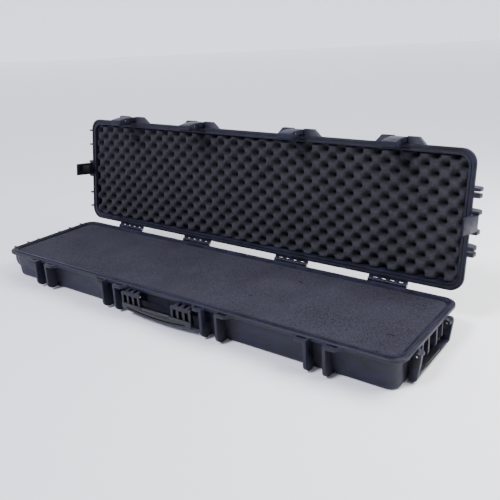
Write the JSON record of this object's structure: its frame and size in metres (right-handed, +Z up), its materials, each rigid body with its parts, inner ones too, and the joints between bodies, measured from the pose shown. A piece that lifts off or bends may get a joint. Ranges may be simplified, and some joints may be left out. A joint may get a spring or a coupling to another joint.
{
  "type": "hard equipment case",
  "caption": "Long, shallow hard-shell equipment case with a hinged lid, draw latches, fold-down handles and foam in both halves.",
  "frame": {"origin": "middle of the base's flat underside", "axes": "+X along the case to the right as seen from the front, -Y out of the front where the latches and front handle are, +Y to the hinges, +Z up"},
  "size_m": [1.376, 0.4872, 0.4625],
  "materials": {
    "shell_plastic": "dark blue-black moulded polypropylene, fine grain, satin",
    "black_plastic": "black moulded plastic, satin",
    "pin_steel": "bright steel pin, ground",
    "seal_rubber": "black seal rubber, dull",
    "foam": "charcoal open-cell foam, matt"
  },
  "bodies": {
    "base": {"base_shell": "shell_plastic", "base_foam": "foam", "hinge_pin_1": "pin_steel", "hinge_pin_2": "pin_steel", "hinge_pin_3": "pin_steel", "hinge_pin_4": "pin_steel", "front_handle_pin_left": "pin_steel", "front_handle_pin_right": "pin_steel", "end_handle_pin_left": "pin_steel", "end_handle_pin_right": "pin_steel"},
    "lid": {"lid_shell": "shell_plastic", "lid_gasket": "seal_rubber", "lid_foam": "foam", "latch_pin_front_1": "pin_steel", "latch_pin_front_2": "pin_steel", "latch_pin_front_3": "pin_steel", "latch_pin_front_4": "pin_steel", "latch_pin_left": "pin_steel", "latch_pin_right": "pin_steel"},
    "lever_front_1": {"latch_lever_front_1": "shell_plastic", "hook_pin_front_1": "pin_steel"},
    "hook_front_1": {"latch_hook_front_1": "black_plastic"},
    "lever_front_2": {"latch_lever_front_2": "shell_plastic", "hook_pin_front_2": "pin_steel"},
    "hook_front_2": {"latch_hook_front_2": "black_plastic"},
    "lever_front_3": {"latch_lever_front_3": "shell_plastic", "hook_pin_front_3": "pin_steel"},
    "hook_front_3": {"latch_hook_front_3": "black_plastic"},
    "lever_front_4": {"latch_lever_front_4": "shell_plastic", "hook_pin_front_4": "pin_steel"},
    "hook_front_4": {"latch_hook_front_4": "black_plastic"},
    "lever_left": {"latch_lever_left": "shell_plastic", "hook_pin_left": "pin_steel"},
    "hook_left": {"latch_hook_left": "black_plastic"},
    "lever_right": {"latch_lever_right": "shell_plastic", "hook_pin_right": "pin_steel"},
    "hook_right": {"latch_hook_right": "black_plastic"},
    "front_handle": {"front_handle_frame": "shell_plastic", "front_handle_grip": "black_plastic"},
    "end_handle": {"end_handle_frame": "shell_plastic", "end_handle_grip": "black_plastic"}
  },
  "joints": [
    {"name": "lid_hinge", "type": "hinge", "parent": "base", "child": "lid", "pos_m": [0, 0.1865, 0.0863], "axis": [1, 0, 0], "range_deg": [0, 97.65]},
    {"name": "lever_front_1_swing", "type": "hinge", "parent": "lid", "child": "lever_front_1", "pos_m": [-0.476, 0.24993, 0.4511], "axis": [-1, 0, 0], "range_deg": [0, 105]},
    {"name": "hook_front_1_rock", "type": "hinge", "parent": "lever_front_1", "child": "hook_front_1", "pos_m": [-0.476, 0.19594, 0.45482], "axis": [1, 0, 0], "range_deg": [0, 20], "stiffness_Nm_per_rad": 0.05, "springref_deg": -8.59},
    {"name": "lever_front_2_swing", "type": "hinge", "parent": "lid", "child": "lever_front_2", "pos_m": [-0.178, 0.24993, 0.4511], "axis": [-1, 0, 0], "range_deg": [0, 105]},
    {"name": "hook_front_2_rock", "type": "hinge", "parent": "lever_front_2", "child": "hook_front_2", "pos_m": [-0.178, 0.19594, 0.45482], "axis": [1, 0, 0], "range_deg": [0, 20], "stiffness_Nm_per_rad": 0.05, "springref_deg": -8.59},
    {"name": "lever_front_3_swing", "type": "hinge", "parent": "lid", "child": "lever_front_3", "pos_m": [0.178, 0.24993, 0.4511], "axis": [-1, 0, 0], "range_deg": [0, 105]},
    {"name": "hook_front_3_rock", "type": "hinge", "parent": "lever_front_3", "child": "hook_front_3", "pos_m": [0.178, 0.19594, 0.45482], "axis": [1, 0, 0], "range_deg": [0, 20], "stiffness_Nm_per_rad": 0.05, "springref_deg": -8.59},
    {"name": "lever_front_4_swing", "type": "hinge", "parent": "lid", "child": "lever_front_4", "pos_m": [0.476, 0.24993, 0.4511], "axis": [-1, 0, 0], "range_deg": [0, 105]},
    {"name": "hook_front_4_rock", "type": "hinge", "parent": "lever_front_4", "child": "hook_front_4", "pos_m": [0.476, 0.19594, 0.45482], "axis": [1, 0, 0], "range_deg": [0, 20], "stiffness_Nm_per_rad": 0.05, "springref_deg": -8.59},
    {"name": "lever_left_swing", "type": "hinge", "parent": "lid", "child": "lever_left", "pos_m": [-0.6785, 0.2255, 0.26924], "axis": [0, -0.1331, -0.9911], "range_deg": [0, 105]},
    {"name": "hook_left_rock", "type": "hinge", "parent": "lever_left", "child": "hook_left", "pos_m": [-0.675, 0.17198, 0.27642], "axis": [0, 0.1331, 0.9911], "range_deg": [0, 20], "stiffness_Nm_per_rad": 0.05, "springref_deg": -8.59},
    {"name": "lever_right_swing", "type": "hinge", "parent": "lid", "child": "lever_right", "pos_m": [0.6785, 0.2255, 0.26924], "axis": [0, 0.1331, 0.9911], "range_deg": [0, 105]},
    {"name": "hook_right_rock", "type": "hinge", "parent": "lever_right", "child": "hook_right", "pos_m": [0.675, 0.17198, 0.27642], "axis": [0, -0.1331, -0.9911], "range_deg": [0, 20], "stiffness_Nm_per_rad": 0.05, "springref_deg": -8.59},
    {"name": "front_handle_swing", "type": "hinge", "parent": "base", "child": "front_handle", "pos_m": [0, -0.1885, 0.0682], "axis": [-1, 0, 0], "range_deg": [0, 95]},
    {"name": "end_handle_swing", "type": "hinge", "parent": "base", "child": "end_handle", "pos_m": [0.6725, 0, 0.066], "axis": [0, -1, 0], "range_deg": [0, 95]}
  ]
}
